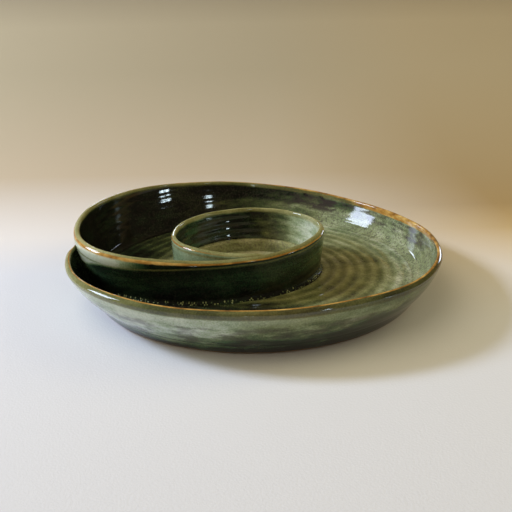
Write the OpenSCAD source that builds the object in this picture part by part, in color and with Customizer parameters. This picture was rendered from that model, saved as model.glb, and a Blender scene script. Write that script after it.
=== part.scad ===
// Chip and dip server: a round stoneware plate whose flared wall runs on inwards as a
// spiral, crosses the tray as a divider and closes again as a round dip bowl.
// Origin: on the table, at the centre of the wheel. The start of the wall is at the left (-X),
// and the wall runs round the front (-Y) to the right (+X), the back (+Y) and inwards.

/* [Base] */
// Radius of the foot where it stands on the table
foot_r = 125; // [115:1:135]
// Radial width of the foot ring
foot_w = 17; // [12:1:22]
// Height of the floor's top over the table
floor_top = 9.8; // [9:0.2:12]
// Depth of the recess inside the foot ring
recess = 3.4; // [2:0.2:3.8]
// Height of the bare clay edge below the glaze
bare_edge = 1.4; // [1:0.1:1.8]
// How far the plate's edge flares out between the table and the floor's top
edge_flare = 7.3; // [6:0.1:8]
// Depth of the throwing rings in the floor
ring_depth = 0.4; // [0.2:0.1:0.6]
// Distance between two throwing rings
ring_pitch = 9.6; // [8:0.2:12]

/* [Wall] */
// Factor on all wall heights above the floor
height_factor = 1; // [0.9:0.02:1.1]
// Factor on the wall's thickness
thickness_factor = 1; // [0.9:0.02:1.1]
// Bulge of the leaning wall, as a share of its lean
belly = 0.45; // [0:0.05:0.6]
// Radius of the cove between the outer wall and the floor
cove = 5; // [3:0.5:6]

/* [Seams] */
// Width on the floor of the coil along the divider's outer side
outer_coil_w = 3; // [2:0.5:4]
// Width on the floor of the coil along the divider's inner side
inner_coil_w = 5; // [3:0.5:6]
// Width on the floor of the coil inside the dip bowl
bowl_coil_w = 9; // [6:0.5:10]

/* [Hidden] */

// Path angles: 0 is +X, growing anticlockwise, and each full turn adds 360
turn = 360;
wall_start = 184;
divider_start = 540;
bowl_start = 750;
wall_end = 1000;
outer_step = 4;
inner_step = 2.5;

// Path angles where the seam coils begin and end
outer_coil_ends = [557.5, 972.5];
inner_coil_ends = [540, 612.5];
bowl_coil_start = 642.5;

// Path angles where the gap beside each end of the wall closes, at the floor and at the rim,
// the length in degrees of the upright coil in that gap, and how far it stays below the rim
start_gap = [192.4, 187.4];
start_reach = 3.6;
end_gap = [984.8, 986.6];
end_reach = -7.5;
rim_gap = 0.8;

// Rows of [path angle, value] for a foot radius of 125, with smooth curves between them
plan_foot_r = 125;
// Radius of the wall's middle at the floor
PLAN = [[184, 129.9], [360, 129.9], [535, 129.9], [550, 126.5], [560, 118], [570, 105.3],
    [580, 93.3], [590, 84], [605, 71.5], [620, 61.5], [640, 54], [660, 50], [690, 47.5],
    [720, 48.5], [750, 49.2], [780, 50.2], [810, 51.5], [840, 54.3], [870, 57.7], [900, 61.5],
    [925, 63.6], [950, 60.3], [975, 55.7], [1000, 52.6]];
// Lean of the rim, outwards from the wall's middle at the floor
LEAN = [[184, 10], [200, 15.7], [215, 19.2], [240, 18.2], [265, 15.2], [290, 14.2], [315, 16.2],
    [335, 13.2], [360, 9.2], [385, 9.2], [440, 10.7], [500, 11.2], [540, 10.2], [560, 10],
    [570, 8.7], [580, 6.3], [590, 4], [605, 2], [640, 1], [690, 2], [720, 3.5], [780, 2.5],
    [870, 2.5], [925, 1.5], [1000, 0.5]];
// Height of the rim's top over the table
TOP = [[184, 39.5], [270, 39.5], [315, 38.5], [360, 36], [385, 33.5], [410, 35], [440, 41],
    [470, 48], [500, 53.2], [525, 54.3], [540, 52.3], [550, 49.5], [560, 47], [580, 44],
    [605, 42], [640, 41.5], [690, 43], [720, 44], [925, 44], [1000, 42]];
// Thickness of the wall
THICK = [[184, 4.2], [215, 4.8], [440, 4.8], [500, 5.2], [540, 5.6], [570, 5], [690, 5],
    [720, 4.6], [780, 4], [1000, 4]];

plan_scale = foot_r / plan_foot_r;
edge_r = foot_r + edge_flare;
$fn = 96;

// ---- curves -------------------------------------------------------------------------------

// Index of the row of table t that starts the span holding angle a
function row(t, a, i = 0) = i >= len(t) - 2 || a < t[i + 1][0] ? i : row(t, a, i + 1);

// Slope of table t at row i, from its neighbours
function slope(t, i) =
    let (p = t[max(i - 1, 0)], q = t[min(i + 1, len(t) - 1)]) (q[1] - p[1]) / (q[0] - p[0]);

// Value of table t at angle a on a cubic curve through its rows
function value(t, a) =
    let (i = row(t, a), h = t[i + 1][0] - t[i][0], x = (a - t[i][0]) / h)
    (2 * x^3 - 3 * x^2 + 1) * t[i][1] + (x^3 - 2 * x^2 + x) * h * slope(t, i)
    + (3 * x^2 - 2 * x^3) * t[i + 1][1] + (x^3 - x^2) * h * slope(t, i + 1);

function middle(a) = plan_scale * value(PLAN, a) * [cos(a), sin(a)];
function along(a) = let (d = middle(a + 0.5) - middle(a - 0.5)) d / norm(d);
function outward(a) = let (d = along(a)) [d.y, -d.x];

// The point at path angle a that lies u outwards of the wall's middle, at height z
function place(a, u, z) = let (p = middle(a) + u * outward(a)) [p.x, p.y, z];

// ---- wall section -------------------------------------------------------------------------

function thick(a) = thickness_factor * value(THICK, a);
function top(a) = floor_top + height_factor * (value(TOP, a) - floor_top);

// Lean of the wall's middle at share s of its height, where 1 is the centre of the round rim
function lean(a, s) = value(LEAN, a) * s * (1 + belly * (1 - s));
function at_share(a, s) = floor_top + s * (top(a) - thick(a) / 2 - floor_top);
function share(a, z) = (z - floor_top) / (at_share(a, 1) - floor_top);

function outer_face(a, z) = lean(a, share(a, z)) + thick(a) / 2;
function inner_face(a, z) = lean(a, share(a, z)) - thick(a) / 2;

face_shares = [0, 0.12, 0.24, 0.5, 0.75, 1];
face_rows = len(face_shares);

function outer_side(a) =
    [for (s = face_shares) let (z = at_share(a, s)) [outer_face(a, z), z]];
function rim(a) = [for (r = [30:30:150])
    [lean(a, 1) + cos(r) * thick(a) / 2, at_share(a, 1) + sin(r) * thick(a) / 2]];
function inner_side(a, lowest) =
    [for (i = [face_rows - 1:-1:lowest]) let (z = at_share(a, face_shares[i])) [inner_face(a, z), z]];

// Section [u, z] of the wall: up its outer face, over the rim and down its inner face
function wall_section(a) = concat(outer_side(a), rim(a), inner_side(a, 0));

// ---- where one turn of the wall lies on another -------------------------------------------

deg_length = PI / 180;

// Point of the wall's face at path angle b and height z; side 1 is the outer face, -1 the inner
function face_point(b, z, side) =
    let (p = place(b, side > 0 ? outer_face(b, z) : inner_face(b, z), z)) [p.x, p.y];

// How far outwards of the wall's middle at path angle a that face lies, searching from angle b
function face_offset(a, b, z, side, tries = 5) =
    let (d = face_point(b, z, side) - middle(a))
    tries == 0 ? d * outward(a)
        : face_offset(a, b - d * along(a) / (norm(middle(b)) * deg_length), z, side, tries - 1);

// The outer wall's start stays outside the divider, and the strip's end stays inside it
function divider_outside(a, z) = face_offset(a, a + turn, z, 1);
function divider_inside(a, z) = face_offset(a, a - turn, z, -1);
start_overlap = 12;
end_overlap = 15;

// Radius of the cove at angle a: it grows from a small one beside the divider
cove_start = 194;
cove_growth = 20;
cove_least = 0.3;
function cove_at(a) = min(cove, 0.9 * (at_share(a, face_shares[2]) - floor_top))
    * min(1, max(cove_least, (a - cove_start) / cove_growth));

// A quarter-round hollow from the wall's inner face to the floor
function cove_side(a) = let (c = cove_at(a)) [for (t = [0, 30, 60, 90])
    let (z = floor_top + c * (1 - sin(t))) [inner_face(a, z) - c * (1 - cos(t)), z]];

function outer_wall_section(a) =
    let (section = concat(outer_side(a), rim(a), inner_side(a, 2), cove_side(a)))
    a > wall_start + start_overlap ? section
        : [for (p = section) [max(p[0], divider_outside(a, p[1])), p[1]]];

function bowl_wall_section(a) =
    a < wall_end - end_overlap ? wall_section(a)
        : [for (p = wall_section(a)) [min(p[0], divider_inside(a, p[1])), p[1]]];

// ---- sweeping -----------------------------------------------------------------------------

// Solid through a list of rings of points, with flat ends, or closed on itself as a loop
module skin(rings, loop = false) {
    n = len(rings[0]);
    m = len(rings);
    points = [for (r = rings) for (p = r) p];
    sides = [for (i = [0:loop ? m - 1 : m - 2]) for (j = [0:n - 1])
        let (k = (j + 1) % n, next = ((i + 1) % m) * n)
        each [[i * n + j, i * n + k, next + k], [i * n + j, next + k, next + j]]];
    first_cap = [for (j = [n - 1:-1:0]) j];
    last_cap = [for (j = [0:n - 1]) (m - 1) * n + j];
    polyhedron(points, loop ? sides : concat(sides, [first_cap, last_cap]), convexity = 10);
}

function placed(a, section) = [for (p = section) place(a, p[0], p[1])];

// ---- seam coils ---------------------------------------------------------------------------

// Free side of a coil as shares of [its width, its height], from the wall down to the floor
HOLLOW = [[0.12, 0.55], [0.45, 0.15]];
ROUNDED = [[0.2, 0.97], [0.42, 0.78], [0.8, 0.22]];

// Section of a coil in the corner of wall and floor: side is 1 outside the wall and -1 inside
// it, and the coil covers the wall's face up to face_shares[rows]
function coil_section(a, side, rows, w, shape) =
    let (s = face_shares[rows], h = at_share(a, s) - floor_top, foot = side * thick(a) / 2)
    concat(
        [for (i = [0:rows]) [foot + lean(a, face_shares[i]), at_share(a, face_shares[i])]],
        [for (p = shape) [foot + lean(a, s) * p.y + side * w * p.x, floor_top + h * p.y]],
        [[foot + side * w, floor_top]]);

// The rings run the same way round on both sides of the wall
function turned(ring, side) = side < 0 ? ring : [for (i = [len(ring) - 1:-1:0]) ring[i]];

// Share of its full width that a coil has at angle a, so that both ends taper off
function taper(a, ends) = min(1, 0.2 + (a - ends[0]) / 15, 0.2 + (ends[1] - a) / 15);

module floor_coil(ends, side, w) {
    skin([for (a = [ends[0]:inner_step:ends[1]])
        placed(a, turned(coil_section(a, side, 1, w * taper(a, ends), HOLLOW), side))]);
}

// Level ring of the upright coil in the narrow gap where a wall's end runs onto the divider,
// at share s of its height; side is -1 beside the wall's inner face and 1 beside its outer face
function lute_ring(s, gap, reach, side, z) =
    let (a0 = gap[0] + s * (gap[1] - gap[0]),
        wall = function (a) side > 0 ? outer_face(a, z) : inner_face(a, z),
        divider = function (a) side > 0 ? divider_inside(a, z) : divider_outside(a, z))
    concat(
        [for (t = [0, 0.5, 1]) let (a = a0 + t * reach) place(a, wall(a), z)],
        [let (a = a0 + 0.6 * reach) place(a, (wall(a) + divider(a)) / 2, z)],
        [for (t = [1, 0.5, 0]) let (a = a0 + t * reach) place(a, divider(a), z)]);

// ---- sub-parts ----------------------------------------------------------------------------

groove_r = edge_r - 14.3;
groove_count = floor(groove_r / ring_pitch);
ledge_r = foot_r - foot_w / 3;
glaze_line_r = foot_r + edge_flare * 0.2;

// The thrown disc: the tray's floor with its throwing rings, and the flared glazed edge
module floor_disc() {
    color("#5b5a2c")
    rotate_extrude()
    polygon(concat(
        [[0, recess], [ledge_r, recess], [ledge_r, bare_edge], [glaze_line_r, bare_edge],
         [foot_r + edge_flare * 0.65, floor_top * 0.55], [edge_r, floor_top],
         [groove_r + ring_pitch / 2, floor_top]],
        [for (i = [0:groove_count - 1]) for (side = [0, 1])
            [groove_r - (i + side / 2) * ring_pitch, floor_top - (1 - side) * ring_depth]],
        [[0, floor_top]]));
}

// The bare stoneware ring that stands on the table
module foot_ring() {
    color("#8a6a4a")
    rotate_extrude()
    polygon([[foot_r - foot_w, recess], [foot_r - foot_w, 0.6], [foot_r - foot_w + 0.6, 0],
        [foot_r - 0.6, 0], [foot_r, 0.5], [glaze_line_r, bare_edge],
        [ledge_r, bare_edge], [ledge_r, recess]]);
}

// The flared wall round the tray, with a cove to the floor; its start lies on the divider
module outer_wall() {
    color("#6f7a68")
    skin([for (a = [wall_start:outer_step:divider_start]) placed(a, outer_wall_section(a))]);
}

// The stretch of wall that leaves the circle and crosses the tray
module divider_wall() {
    color("#1f3325")
    skin([for (a = [divider_start:inner_step:bowl_start]) placed(a, wall_section(a))]);
}

// The wall of the dip bowl; its end lies on the divider's inner face
module dip_bowl_wall() {
    color("#7f9a78")
    skin([for (a = [bowl_start:inner_step:wall_end]) placed(a, bowl_wall_section(a))]);
}

// The tooled coil outside the divider and the dip bowl
module outer_seam_coil() {
    color("#8a8f5a")
    floor_coil(outer_coil_ends, 1, outer_coil_w);
}

// The coil inside the divider, from the outer wall to where the dip bowl begins
module inner_seam_coil() {
    color("#76804e")
    floor_coil(inner_coil_ends, -1, inner_coil_w);
}

// The coil that runs right round the dip bowl's floor
module dip_bowl_seam_coil() {
    color("#9aa36a")
    skin([for (a = [bowl_coil_start:inner_step:wall_end])
        placed(a, coil_section(a, -1, 2, bowl_coil_w, ROUNDED))], loop = true);
}

// The upright coil where the outer wall starts on the divider's outer face, over its cove
module wall_start_seam_coil() {
    foot = floor_top + cove_least * cove;
    head = at_share(wall_start, 1) - rim_gap;
    color("#3c4a38")
    skin([for (s = [0:0.2:1]) lute_ring(s, start_gap, start_reach, -1, foot + s * (head - foot))]);
}

// The upright coil where the strip ends on the divider's inner face
module wall_end_seam_coil() {
    head = at_share(wall_end, 1) - rim_gap;
    color("#4c5c46")
    skin([for (s = [0:0.2:1]) lute_ring(s, end_gap, end_reach, 1, floor_top + s * (head - floor_top))]);
}

floor_disc();
foot_ring();
outer_wall();
divider_wall();
dip_bowl_wall();
outer_seam_coil();
inner_seam_coil();
dip_bowl_seam_coil();
wall_start_seam_coil();
wall_end_seam_coil();
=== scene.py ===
import math

import bpy
from mathutils import Matrix, Vector


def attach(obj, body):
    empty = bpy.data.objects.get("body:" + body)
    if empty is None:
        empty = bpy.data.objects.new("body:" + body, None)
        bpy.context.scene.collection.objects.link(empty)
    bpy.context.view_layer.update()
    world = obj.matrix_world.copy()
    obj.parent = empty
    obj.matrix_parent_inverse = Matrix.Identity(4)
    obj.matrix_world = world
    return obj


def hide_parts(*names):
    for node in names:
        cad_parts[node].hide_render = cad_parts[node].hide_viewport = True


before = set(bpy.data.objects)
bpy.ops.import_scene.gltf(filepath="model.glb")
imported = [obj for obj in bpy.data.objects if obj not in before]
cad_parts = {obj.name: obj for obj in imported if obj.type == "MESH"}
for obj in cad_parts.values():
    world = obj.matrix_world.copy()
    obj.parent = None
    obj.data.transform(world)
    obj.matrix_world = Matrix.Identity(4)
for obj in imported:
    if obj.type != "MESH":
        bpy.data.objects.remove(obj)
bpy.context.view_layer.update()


def add_object(name, data):
    """A new object in the scene."""
    made = bpy.data.objects.new(name, data)
    bpy.context.scene.collection.objects.link(made)
    return made


# ---- camera ----

# Place in metres, angles in radians, sensor and lens in millimetres
SENSOR = 36.0
CAMERA_PLACE = (0.0, -0.52411, 0.21749)
CAMERA_PITCH = 0.3602
CAMERA_ROLL = -0.0207
CAMERA_LENS = 49.22


def add_camera():
    """The camera looks along +Y, pitched down and rolled a little."""
    forward = Vector((0, math.cos(CAMERA_PITCH), -math.sin(CAMERA_PITCH)))
    right = Vector((1, 0, 0))
    up = right.cross(forward)
    x_axis = math.cos(CAMERA_ROLL) * right + math.sin(CAMERA_ROLL) * up
    y_axis = -math.sin(CAMERA_ROLL) * right + math.cos(CAMERA_ROLL) * up
    axes = Matrix((x_axis, y_axis, -forward)).transposed()
    data = bpy.data.cameras.new("camera")
    data.sensor_width = SENSOR
    data.lens = CAMERA_LENS
    camera = add_object("camera", data)
    camera.matrix_world = Matrix.Translation(CAMERA_PLACE) @ axes.to_4x4()
    bpy.context.scene.camera = camera


# ---- measures, in millimetres and degrees as in the CAD model ----

MM = 0.001
TURN = 360

# Foot and plate: radii, widths and heights above the table
FOOT_R = 125
FOOT_W = 17
FLOOR_TOP = 9.8
RECESS = 3.4
BARE_EDGE = 1.4
EDGE_FLARE = 7.3
EDGE_R = FOOT_R + EDGE_FLARE
LEDGE_R = FOOT_R - FOOT_W / 3
GLAZE_LINE_R = FOOT_R + 0.2 * EDGE_FLARE

# Throwing rings in the floor
RING_DEPTH = 0.4
RING_PITCH = 9.6
RING_INSET = 14.3
GROOVE_R = EDGE_R - RING_INSET

BELLY = 0.45

# The round cove at the outer wall's inner foot: radius, start and length of its growth, least
# share of the radius, share of the wall's height where the straight face ends, and the most of
# that height that it takes
COVE = 5
COVE_START = 194
COVE_GROWTH = 20
COVE_LEAST = 0.3
COVE_ROW = 0.24
COVE_MOST = 0.9

# Widths of the seam coils
OUTER_COIL_W = 3
INNER_COIL_W = 5
BOWL_COIL_W = 9

# Path angles: the one strip runs from the wall's start to the end of the dip bowl. Its angle is
# the plate's own angle and counts on past each full turn.
WALL_START = 184
DIVIDER_START = 540
BOWL_START = 750
WALL_END = 1000
OUTER_COIL_ENDS = (557.5, 972.5)
INNER_COIL_ENDS = (540, 612.5)
BOWL_COIL_START = 642.5

# The upright coils: path angle at foot and head, reach along the path, gap below the rim
START_GAP = (192.4, 187.4)
START_REACH = 3.6
END_GAP = (984.8, 986.6)
END_REACH = -7.5
RIM_GAP = 0.8

# Where the strip's two ends lie on the divider, and where they taper, in degrees of path
START_OVERLAP = 12
END_OVERLAP = 15
START_TAPER = 9
END_TAPER = 10

# Rows of (path angle, value), with smooth curves between them: radius of the wall's middle at
# the floor, lean outwards at the rim, height of the rim and thickness
PLAN = (
    (184, 129.9), (360, 129.9), (535, 129.9), (550, 126.5), (560, 118), (570, 105.3), (580, 93.3),
    (590, 84), (605, 71.5), (620, 61.5), (640, 54), (660, 50), (690, 47.5), (720, 48.5), (750, 49.2),
    (780, 50.2), (810, 51.5), (840, 54.3), (870, 57.7), (900, 61.5), (925, 63.6), (950, 60.3),
    (975, 55.7), (1000, 52.6),
)
LEAN = (
    (184, 10), (200, 15.7), (215, 19.2), (240, 18.2), (265, 15.2), (290, 14.2), (315, 16.2),
    (335, 13.2), (360, 9.2), (385, 9.2), (440, 10.7), (500, 11.2), (540, 10.2), (560, 10), (570, 8.7),
    (580, 6.3), (590, 4), (605, 2), (640, 1), (690, 2), (720, 3.5), (780, 2.5), (870, 2.5), (925, 1.5),
    (1000, 0.5),
)
TOP = (
    (184, 39.5), (270, 39.5), (315, 38.5), (360, 36), (385, 33.5), (410, 35), (440, 41), (470, 48),
    (500, 53.2), (525, 54.3), (540, 52.3), (550, 49.5), (560, 47), (580, 44), (605, 42), (640, 41.5),
    (690, 43), (720, 44), (925, 44), (1000, 42),
)
THICK = (
    (184, 4.2), (215, 4.8), (440, 4.8), (500, 5.2), (540, 5.6), (570, 5), (690, 5), (720, 4.6),
    (780, 4), (1000, 4),
)


# ---- curves ----

def slope(table, i):
    """Slope of a table at row i, from its neighbours."""
    before = table[max(i - 1, 0)]
    after = table[min(i + 1, len(table) - 1)]
    return (after[1] - before[1]) / (after[0] - before[0])


def cubic(x, length, start, start_slope, end, end_slope):
    """Value at share x of a cubic curve of a given length, by its end values and slopes."""
    return ((2 * x ** 3 - 3 * x ** 2 + 1) * start
            + (x ** 3 - 2 * x ** 2 + x) * length * start_slope
            + (3 * x ** 2 - 2 * x ** 3) * end
            + (x ** 3 - x ** 2) * length * end_slope)


def value(table, a):
    """Value of a table at angle a on a cubic curve through its rows."""
    i = 0
    while i < len(table) - 2 and a >= table[i + 1][0]:
        i += 1
    (start_a, start), (end_a, end) = table[i], table[i + 1]
    length = end_a - start_a
    return cubic((a - start_a) / length, length, start, slope(table, i), end, slope(table, i + 1))


def linear(table, a):
    """Value of a table at angle a on straight lines, held level past both ends."""
    if a <= table[0][0]:
        return table[0][1]
    for (a0, v0), (a1, v1) in zip(table, table[1:]):
        if a <= a1:
            return v0 + (v1 - v0) * (a - a0) / (a1 - a0)
    return table[-1][1]


def smooth(low, high, x):
    """0 at low, 1 at high and a soft step between them; it falls where low is above high."""
    t = min(max((x - low) / (high - low), 0), 1)
    return t * t * (3 - 2 * t)


def toward(start, end, part):
    """The value a part of the way from start to end."""
    return start + (end - start) * part


def bell(x, centre, width):
    """1 at centre, falling softly to 0 on both sides."""
    return math.exp(-((x - centre) / width) ** 2)


def steps(start, end, step):
    """Evenly spaced values from start to end, about a step apart."""
    count = max(1, round((end - start) / step))
    return [start + (end - start) * i / count for i in range(count + 1)]


def sin_deg(a):
    return math.sin(math.radians(a))


def cos_deg(a):
    return math.cos(math.radians(a))


def waves(rows, a):
    """Sum of sine waves round the object: rows of (size, waves in a turn, phase in degrees)."""
    return sum(size * sin_deg(count * a + phase) for size, count, phase in rows)


def middle(a):
    """Plan of the wall's middle at the floor."""
    radius = value(PLAN, a)
    return Vector((radius * cos_deg(a), radius * sin_deg(a)))


def along(a):
    """Unit direction of the path."""
    return (middle(a + 0.5) - middle(a - 0.5)).normalized()


def outward(a):
    """Unit direction out of the wall, level and square to the path."""
    d = along(a)
    return Vector((d.y, -d.x))


# ---- wall section ----

def thick(a):
    """Thickness of the wall."""
    return value(THICK, a)


def rim_height(a):
    """Height of the rim's round centre."""
    return value(TOP, a) - thick(a) / 2


def lean(a, s):
    """How far outwards the wall's middle leans at share s of its height."""
    return value(LEAN, a) * s * (1 + BELLY * (1 - s))


def at_share(a, s):
    """Height at share s of the wall, whose whole height ends at the rim's round centre."""
    return FLOOR_TOP + s * (rim_height(a) - FLOOR_TOP)


def share(a, z):
    """Share of the wall's height at height z."""
    return (z - FLOOR_TOP) / (rim_height(a) - FLOOR_TOP)


def face(a, z, side):
    """Distance of the wall's outer (1) or inner (-1) face from the wall's middle at the floor."""
    return lean(a, share(a, z)) + side * thick(a) / 2


OFFSET_ROUNDS = 6


def face_offset(a, b, z, side):
    """How far outwards of the wall's middle at a the face of the turn near b lies."""
    start, normal, tangent = middle(a), outward(a), along(a)
    for _ in range(OFFSET_ROUNDS):
        off = middle(b) + face(b, z, side) * outward(b) - start
        b -= off.dot(tangent) / (middle(b).length * math.radians(1))
    return (middle(b) + face(b, z, side) * outward(b) - start).dot(normal)


# Throwing lines left by the fingers: rows of (height of one wave, share of the depth, phase)
THROWING_LINES = ((6.1, 0.94, 0.65), (3.3, 0.06, 0.55))
# Shares of the height over which they fade out at the foot and at the rim
LINES_FADE_FOOT = 0.16
LINES_FADE_RIM = 0.06
# Rows of (path angle, depth in millimetres)
OUTER_LINES_DEPTH = ((184, 0.06), (540, 0.04), (600, 0.03), (1000, 0.05))
INNER_LINES_DEPTH = (
    (184, 0.1), (300, 0.06), (380, 0.03), (430, 0.03), (450, 0.06), (500, 0.03), (640, 0.04),
    (700, 0.08), (760, 0.1), (815, 0.04), (828, 0.33), (900, 0.33), (960, 0.15), (1000, 0.06),
)


def throwing_line(depths, a, z, s):
    """Offset of a face by its throwing lines, which climb one wave each turn."""
    fade = smooth(0, LINES_FADE_FOOT, s) * smooth(0, LINES_FADE_RIM, 1 - s) * linear(depths, a)
    return fade * sum(part * math.sin(math.tau * (z / pitch + a / TURN + phase))
                      for pitch, part, phase in THROWING_LINES)


# Slow unevenness of a hand-thrown rim, in millimetres
HAND_WOBBLE = ((0.16, 5, 20), (0.1, 11, 75))

FACE_STEPS = 36
OUTER_RIM_STEPS = 12
INNER_RIM_STEPS = 7
COVE_STEPS = 8

# How far the hidden foot of a wall or coil is sunk below the floor and into its neighbour
SUNK = 0.9
SUNK_IN = 0.5

# The rim is softly rounded outside and crisper inside. Its highest line lies inwards of the
# middle by a share of the thickness, and the rounds are drops in millimetres.
PEAK_SHARE = 0.24
INNER_ROUND = (
    (184, 1.5), (360, 1.8), (385, 3.2), (430, 3), (480, 1.6), (690, 1.6), (730, 2.4), (1000, 2.2),
)
OUTER_ROUND = (
    (184, 4.2), (300, 4.4), (420, 3.6), (520, 4.4), (545, 7.6), (562, 8.6), (580, 6.5), (600, 3.6),
    (640, 3.2), (1000, 3),
)


def rim_points(a):
    """Rim of the wall as (u, z, "rim", tilt): tilt is its normal's angle, 0 outwards, 90 up."""
    half = thick(a) / 2
    peak = at_share(a, 1) + half + waves(HAND_WOBBLE, a)
    centre = lean(a, 1) - 2 * half * PEAK_SHARE
    points = []
    for i in range(OUTER_RIM_STEPS + INNER_RIM_STEPS + 1):
        if i <= OUTER_RIM_STEPS:
            r = 90 * i / OUTER_RIM_STEPS
            width = lean(a, 1) + half - centre
            drop = value(OUTER_ROUND, a)
        else:
            r = 90 + 90 * (i - OUTER_RIM_STEPS) / INNER_RIM_STEPS
            width = centre - lean(a, 1) + half
            drop = linear(INNER_ROUND, a)
        c, s = cos_deg(r), sin_deg(r)
        tilt = math.degrees(math.atan2(s / drop, c / width))
        u = centre + width * c
        z = peak - drop * (1 - s)
        lower = lean(a, min(1, share(a, z))) - lean(a, 1)
        points.append((u + lower, z, "rim", tilt))
    return points


def wall_section(a, coved=False):
    """Closed section of the wall as (u, z, zone, t): outer face, rim, inner face, hidden foot."""
    half = thick(a) / 2
    rim = rim_points(a)
    outer_top = share(a, rim[0][1])
    inner_top = share(a, rim[-1][1])
    points = []
    for i in range(FACE_STEPS):
        s = outer_top * i / FACE_STEPS
        z = at_share(a, s)
        lines = throwing_line(OUTER_LINES_DEPTH, a, z, s / outer_top)
        points.append((face(a, z, 1) + lines, z, "outer", s / outer_top))
    points += rim
    lowest = COVE_ROW if coved else 0
    for i in range(1, FACE_STEPS + 1):
        s = inner_top - (inner_top - lowest) * i / FACE_STEPS
        z = at_share(a, s)
        lines = throwing_line(INNER_LINES_DEPTH, a, z, s / inner_top)
        points.append((lean(a, min(1, s)) - half - lines, z, "inner", s / inner_top))
    if coved:
        c = min(COVE, COVE_MOST * (at_share(a, COVE_ROW) - FLOOR_TOP))
        c *= min(1, max(COVE_LEAST, (a - COVE_START) / COVE_GROWTH))
        for i in range(COVE_STEPS + 1):
            t = 90 * i / COVE_STEPS
            z = FLOOR_TOP + c * (1 - sin_deg(t))
            points.append((face(a, z, -1) - c * (1 - cos_deg(t)), z, "inner", share(a, z)))
    u_last = points[-1][0]
    points.append((u_last + SUNK_IN, FLOOR_TOP - SUNK, "foot", 0))
    points.append((half - SUNK_IN, FLOOR_TOP - SUNK, "foot", 0))
    return points


# ---- paint: how thick, warm, broken and speckled the glaze is, with painted light and shade ----
# depth: 0 where the glaze is thin and pale, 1 where it is thick and nearly black; in places it also
# carries painted light and shade
# warm: 0 green, 1 olive brown;  edge: amber where it breaks
# speck: density of the spots;  blotch: strength of the streaks
# Rows of (path angle, value), with straight lines between them

# How dark the outer faces are: partly the glaze's own thickness, partly painted light, pale at the
# left where the window lights and mirrors them and darker round the right in shade
OUTER_DEPTH_AND_PAINTED_LIGHT = (
    (184, 0.38), (198, 0.06), (235, 0.0), (262, 0.21), (300, 0.47), (340, 0.66), (400, 0.64),
    (440, 0.45), (530, 0.34), (544, 0.38), (552, 0.62), (560, 0.9), (600, 0.94), (640, 0.88),
    (690, 0.8), (730, 0.55), (780, 0.4), (860, 0.32), (900, 0.22), (1000, 0.32),
)
OUTER_WARM = (
    (184, 0.3), (205, 0.0), (240, 0.02), (262, 0.1), (300, 0.34), (360, 0.5), (440, 0.45), (544, 0.14),
    (565, 0.15), (640, 0.05), (720, 0.1), (860, 0.1), (900, 0.05),
)
# Strength of the pale band under the outer rim, a painted reflection of the left window on the outer
# wall's left and on the divider
UPPER_PAINTED_SHEEN = (
    (190, 0.2), (200, 1), (240, 0.8), (262, 0.42), (300, 0.08), (320, 0), (545, 0), (554, 1), (568, 1),
    (580, 0),
)
# How dark the inner faces are: partly the glaze's own thickness, partly painted light, darker where a
# face is turned away from the left light and paler where it faces it
INNER_DEPTH_AND_PAINTED_LIGHT = (
    (184, 0.9), (230, 0.7), (260, 0.5), (300, 0.26), (420, 0.27), (445, 0.55), (470, 0.84), (500, 1.0),
    (560, 1.06), (620, 0.86), (640, 0.7), (690, 0.22), (715, 0.12), (750, 0.12), (772, 0.2),
    (785, 0.48), (810, 0.74), (840, 0.88), (870, 0.8), (915, 0.72), (1000, 0.74),
)
# Added to the depth in the upper half of the inner face
INNER_TOP_DARK = ((400, 0), (422, 0.26), (455, 0.3), (480, 0))
INNER_WARM = (
    (184, 0.3), (300, 0.35), (380, 0.45), (420, 0.4), (450, 0.6), (480, 0.6), (520, 0.25), (600, 0.2),
    (640, 0.2), (690, 0.15), (760, 0.2), (800, 0.6), (820, 0.3), (845, 0.03), (1000, 0.15),
)
INNER_SPECK = (
    (184, 0.3), (290, 0.6), (320, 1.0), (420, 1.0), (450, 0.5), (540, 0.2), (680, 0.2), (720, 0.35),
    (780, 0.4), (820, 0.2),
)
RIM_DEPTH = (
    (220, 0.32), (245, 0.54), (300, 0.6), (330, 0.64), (400, 0.5), (480, 0.32),
    (550, 0.18), (600, 0.34), (680, 0.36), (720, 0.22), (850, 0.22), (930, 0.26), (1000, 0.3),
)

# The two amber lines on the rim: strength, tilt of the rim's normal at the line, and width
INNER_BREAK = (
    (184, 1.0), (225, 0.8), (300, 1.0), (440, 1.0), (480, 0.6), (520, 0.3), (560, 0.2),
    (640, 0.3), (720, 0.2),
)
INNER_LINE = (
    (184, 104), (225, 92), (240, 84), (310, 86), (340, 100), (380, 122), (430, 118), (480, 106),
)
INNER_WIDTH = (
    (184, 20), (240, 15), (310, 15), (350, 40), (380, 56), (410, 42), (430, 38), (455, 24), (480, 20),
)
OUTER_BREAK = (
    (184, 0.6), (196, 0.12), (360, 0.15), (440, 0.4), (530, 0.5), (550, 0.8), (600, 1.0), (680, 0.8),
    (720, 0.4), (860, 0.5), (905, 0.85), (930, 0.85), (960, 0.35), (1000, 0.2),
)
OUTER_LINE = 30
OUTER_WIDTH = 11

# Path angles over which parts of the inner faces' glaze fade in or out: the amber that reaches
# down at the right, the streaks there, and the streaks in the dip bowl
AMBER_IN = (345, 368)
AMBER_OUT = (412, 396)
STREAKS_IN = (340, 370)
STREAKS_OUT = (445, 430)
BOWL_STREAKS = (765, 790)
# The left end's glaze gives way to the front's, and the outer wall's to the divider's, which
# also takes the rim's outermost part, up to these tilts
FRONT_GLAZE = (225, 275)
DIVIDER_GLAZE = (550, 565)
DIVIDER_RIM = (545, 552)
RIM_FACE_TILT = (24, 17)

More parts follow.
